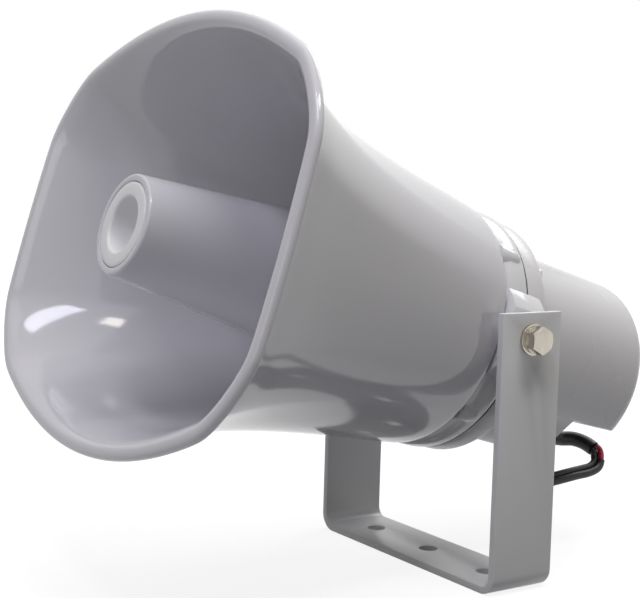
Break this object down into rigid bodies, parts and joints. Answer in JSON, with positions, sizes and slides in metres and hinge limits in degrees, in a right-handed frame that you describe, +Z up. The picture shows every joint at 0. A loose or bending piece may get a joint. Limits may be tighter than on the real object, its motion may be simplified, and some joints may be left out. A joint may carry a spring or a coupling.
{
  "type": "pa horn speaker",
  "caption": "Folded public-address horn speaker with a rounded rectangular flared bell, centre reflector tube, rear driver housing and a tilting U bracket.",
  "frame": {"origin": "centre of the underside of the bracket base, on the axis of its middle fixing hole", "axes": "+Z up from the mounting surface along the bracket arms, -Y the way the bell faces, +X across the arms along the tilt axis"},
  "size_m": [0.2798, 0.3433, 0.2925],
  "materials": {
    "bracket_enamel": "smooth light grey baked enamel on bent steel strap",
    "bell_abs": "gloss moulded off-white ABS",
    "reflector_abs": "gloss moulded off-white ABS",
    "cap_abs": "satin moulded off-white ABS",
    "ring_abs": "high gloss moulded off-white ABS",
    "housing_abs": "satin gloss moulded off-white ABS",
    "black_rubber": "black moulded rubber",
    "stainless": "plain stainless fasteners",
    "phenolic_board": "brown phenolic board with tinned tabs",
    "die_cast": "die-cast aluminium",
    "dome_phenolic": "thin pressed phenolic cloth",
    "coil_copper": "enamelled copper wire on its former",
    "plated_steel": "zinc plated mild steel",
    "ferrite": "sintered ferrite",
    "red_pvc": "red PVC insulation",
    "black_pvc": "black PVC cable sheath",
    "bare_copper": "bare stranded copper",
    "black_nylon": "black nylon friction washer"
  },
  "bodies": {
    "bracket": {"bracket": "bracket_enamel"},
    "horn": {"bell": "bell_abs", "reflector_tube": "reflector_abs", "reflector_cap": "cap_abs", "throat_tube": "bell_abs", "bell_gasket": "black_rubber", "mounting_ring": "ring_abs", "housing_gasket": "black_rubber", "rear_housing": "housing_abs", "housing_screws": "stainless", "driver_gasket": "black_rubber", "driver_front_cover": "die_cast", "phase_plug": "cap_abs", "diaphragm_spacer": "die_cast", "top_plate": "plated_steel", "ring_magnet": "ferrite", "pole_plate": "plated_steel", "driver_screws": "stainless", "terminal_strip": "phenolic_board", "terminal_lead_red": "red_pvc", "terminal_lead_black": "black_pvc", "bolt_left": "stainless", "bolt_right": "stainless", "spring_washer_left": "stainless", "spring_washer_right": "stainless", "flat_washer_left": "stainless", "flat_washer_right": "stainless", "friction_washer_left": "black_nylon", "friction_washer_right": "black_nylon", "captive_nut_left": "stainless", "captive_nut_right": "stainless", "cable_gland": "black_rubber", "cable_sheath": "black_pvc", "red_lead": "red_pvc", "red_lead_sleeve": "black_pvc", "black_lead": "black_pvc", "red_wire_end": "bare_copper", "black_wire_end": "bare_copper"},
    "diaphragm_unit": {"diaphragm": "dome_phenolic", "voice_coil": "coil_copper"}
  },
  "joints": [
    {"name": "tilt", "type": "hinge", "parent": "bracket", "child": "horn", "pos_m": [0, 0, 0.1337], "axis": [-1, 0, 0], "range_deg": [-22, 30]},
    {"name": "diaphragm_travel", "type": "slide", "parent": "horn", "child": "diaphragm_unit", "axis": [0, -0.9593, 0.2823], "range_m": [-0.0003, 0.0003], "stiffness_N_per_m": 500}
  ]
}
